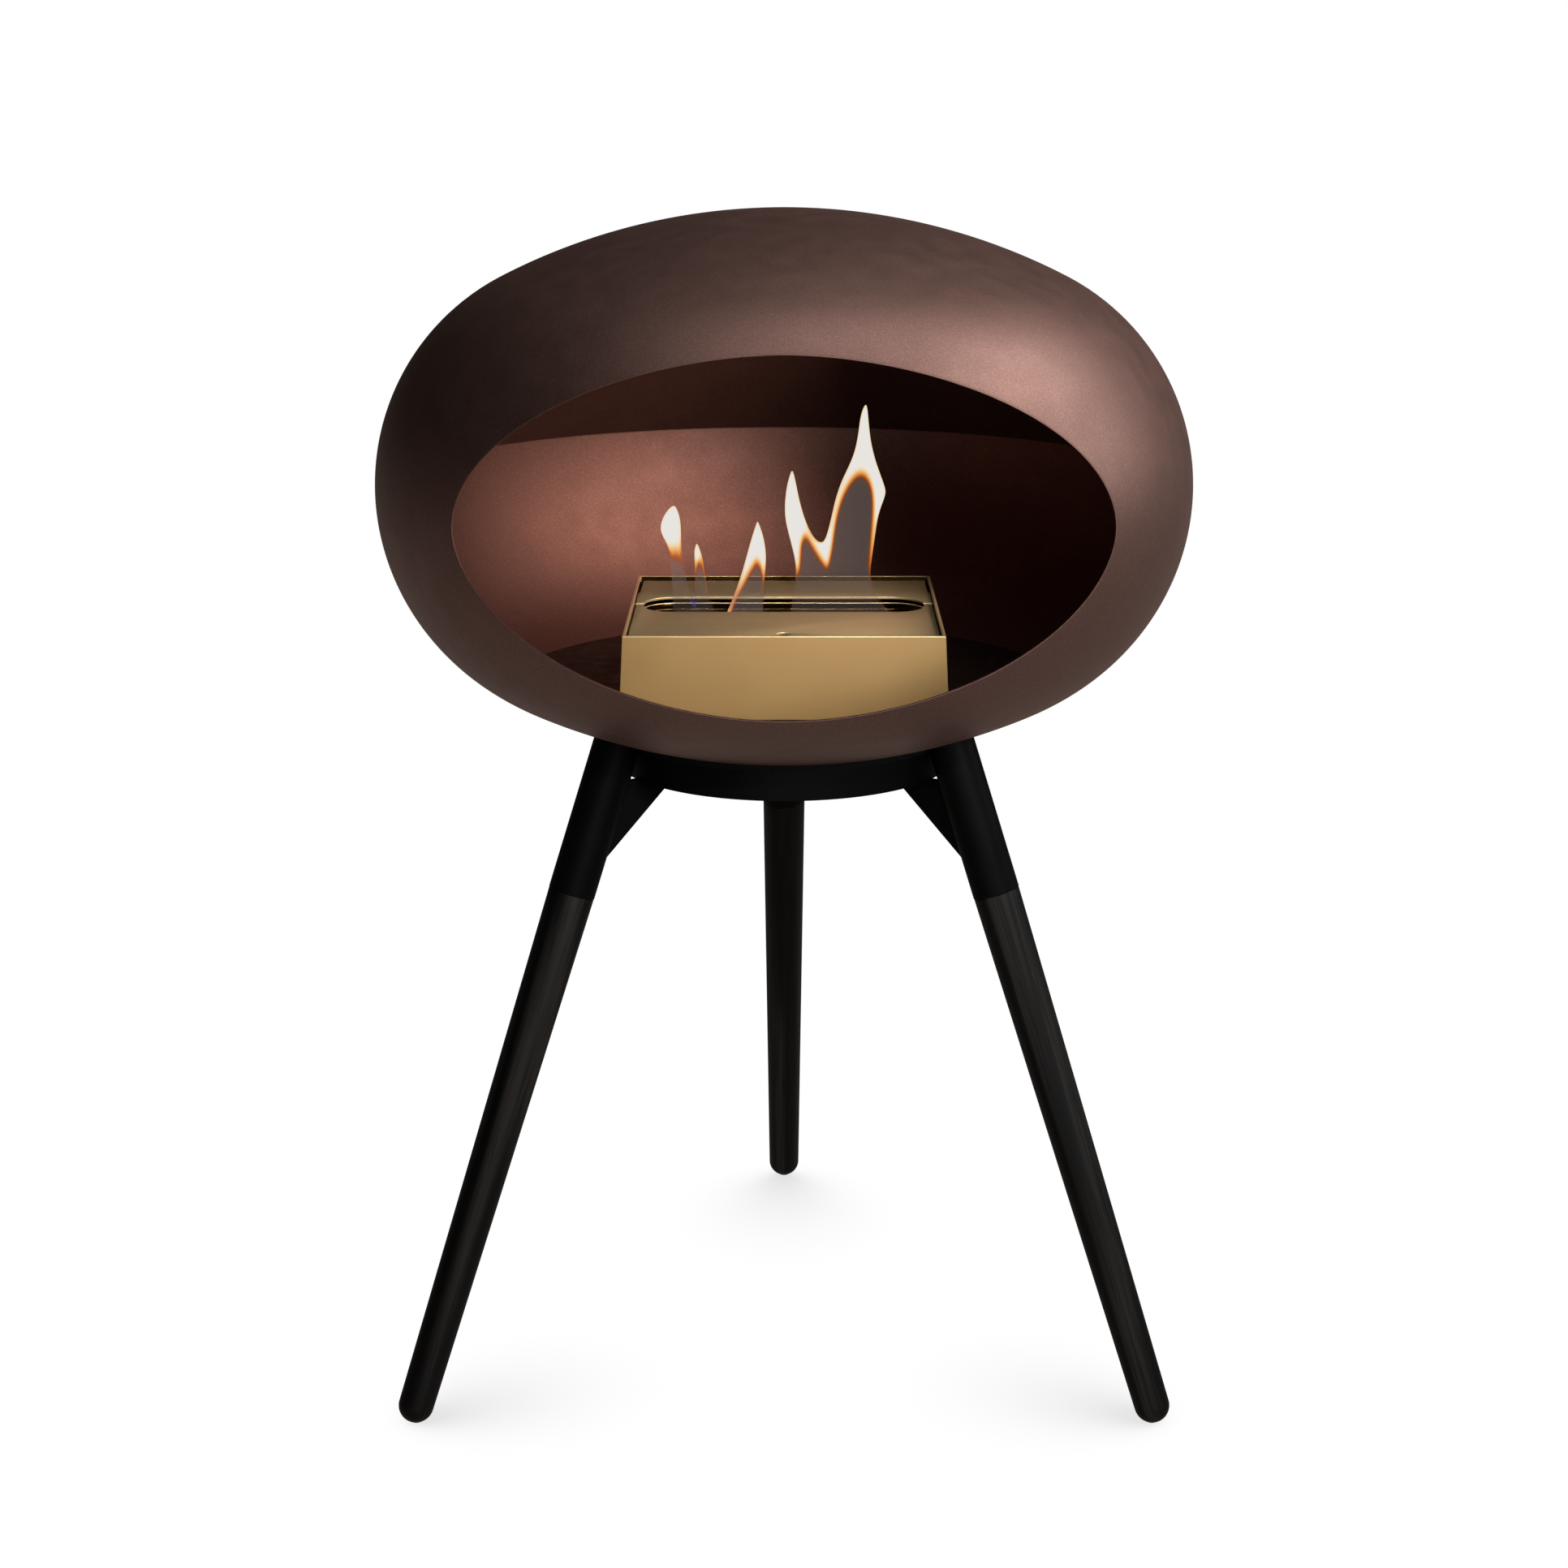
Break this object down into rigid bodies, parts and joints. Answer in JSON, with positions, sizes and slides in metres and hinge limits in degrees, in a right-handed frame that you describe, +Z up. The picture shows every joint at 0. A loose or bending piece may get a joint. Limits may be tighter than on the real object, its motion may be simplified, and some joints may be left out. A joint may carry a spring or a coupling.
{
  "type": "freestanding bioethanol fireplace",
  "caption": "Flattened steel dome with a wide oval mouth, turning on a ring with splayed round wooden legs, and a slotted burner box with flames inside.",
  "frame": {"origin": "on the floor, under the middle of the whole object", "axes": "+Z up through the dome, -Y out of the mouth towards the viewer, +X to the viewer's right"},
  "size_m": [0.52, 0.5016, 0.7634],
  "materials": {
    "dome_lacquer": "satin metallic copper-brown lacquer",
    "chamber_black": "matt dark brown heat-resistant paint",
    "stand_powder_coat": "fine-textured matt black powder coat",
    "leg_wood": "black-stained open-grain wood, matt",
    "pad_rubber": "matt black",
    "zinc_steel": "bright zinc plate",
    "burner_gold": "satin brass colour",
    "tank_steel": "brushed stainless steel",
    "absorber_wool": "ceramic fibre wool",
    "flame": "burning ethanol flame"
  },
  "bodies": {
    "stand": {"support_ring": "stand_powder_coat", "ring_pad": "pad_rubber", "leg_socket_rear": "stand_powder_coat", "gusset_rear": "stand_powder_coat", "socket_insert_rear": "zinc_steel", "leg_stud_rear": "zinc_steel", "wooden_leg_rear": "leg_wood", "foot_glide_rear": "pad_rubber", "leg_socket_front_left": "stand_powder_coat", "gusset_front_left": "stand_powder_coat", "socket_insert_front_left": "zinc_steel", "leg_stud_front_left": "zinc_steel", "wooden_leg_front_left": "leg_wood", "foot_glide_front_left": "pad_rubber", "leg_socket_front_right": "stand_powder_coat", "gusset_front_right": "stand_powder_coat", "socket_insert_front_right": "zinc_steel", "leg_stud_front_right": "zinc_steel", "wooden_leg_front_right": "leg_wood", "foot_glide_front_right": "pad_rubber"},
    "dome": {"dome_lower_shell": "dome_lacquer", "dome_upper_shell": "dome_lacquer", "chamber_floor": "chamber_black", "ceiling_heat_shield": "dome_lacquer", "shield_standoff_1": "zinc_steel", "shield_standoff_2": "zinc_steel", "shield_standoff_3": "zinc_steel"},
    "burner": {"burner_casing": "burner_gold", "rear_cover": "burner_gold", "slide_rail_left": "burner_gold", "slide_rail_right": "burner_gold", "tank_tray": "tank_steel", "tank_deck": "burner_gold", "fuel_absorber": "absorber_wool", "burner_pad_front_left": "pad_rubber", "burner_pad_front_right": "pad_rubber", "burner_pad_rear_left": "pad_rubber", "burner_pad_rear_right": "pad_rubber"},
    "shutter": {"shutter_plate": "burner_gold"}
  },
  "joints": [
    {"name": "dome_turn", "type": "hinge", "parent": "stand", "child": "dome", "pos_m": [0, -0.0353, 0.43], "axis": [0, 0, 1], "continuous": true},
    {"name": "burner_lift_out", "type": "slide", "parent": "dome", "child": "burner", "axis": [0, -0.866, 0.5], "range_m": [0, 0.15]},
    {"name": "shutter_slide", "type": "slide", "parent": "burner", "child": "shutter", "axis": [0, 1, 0], "range_m": [0, 0.044]}
  ]
}
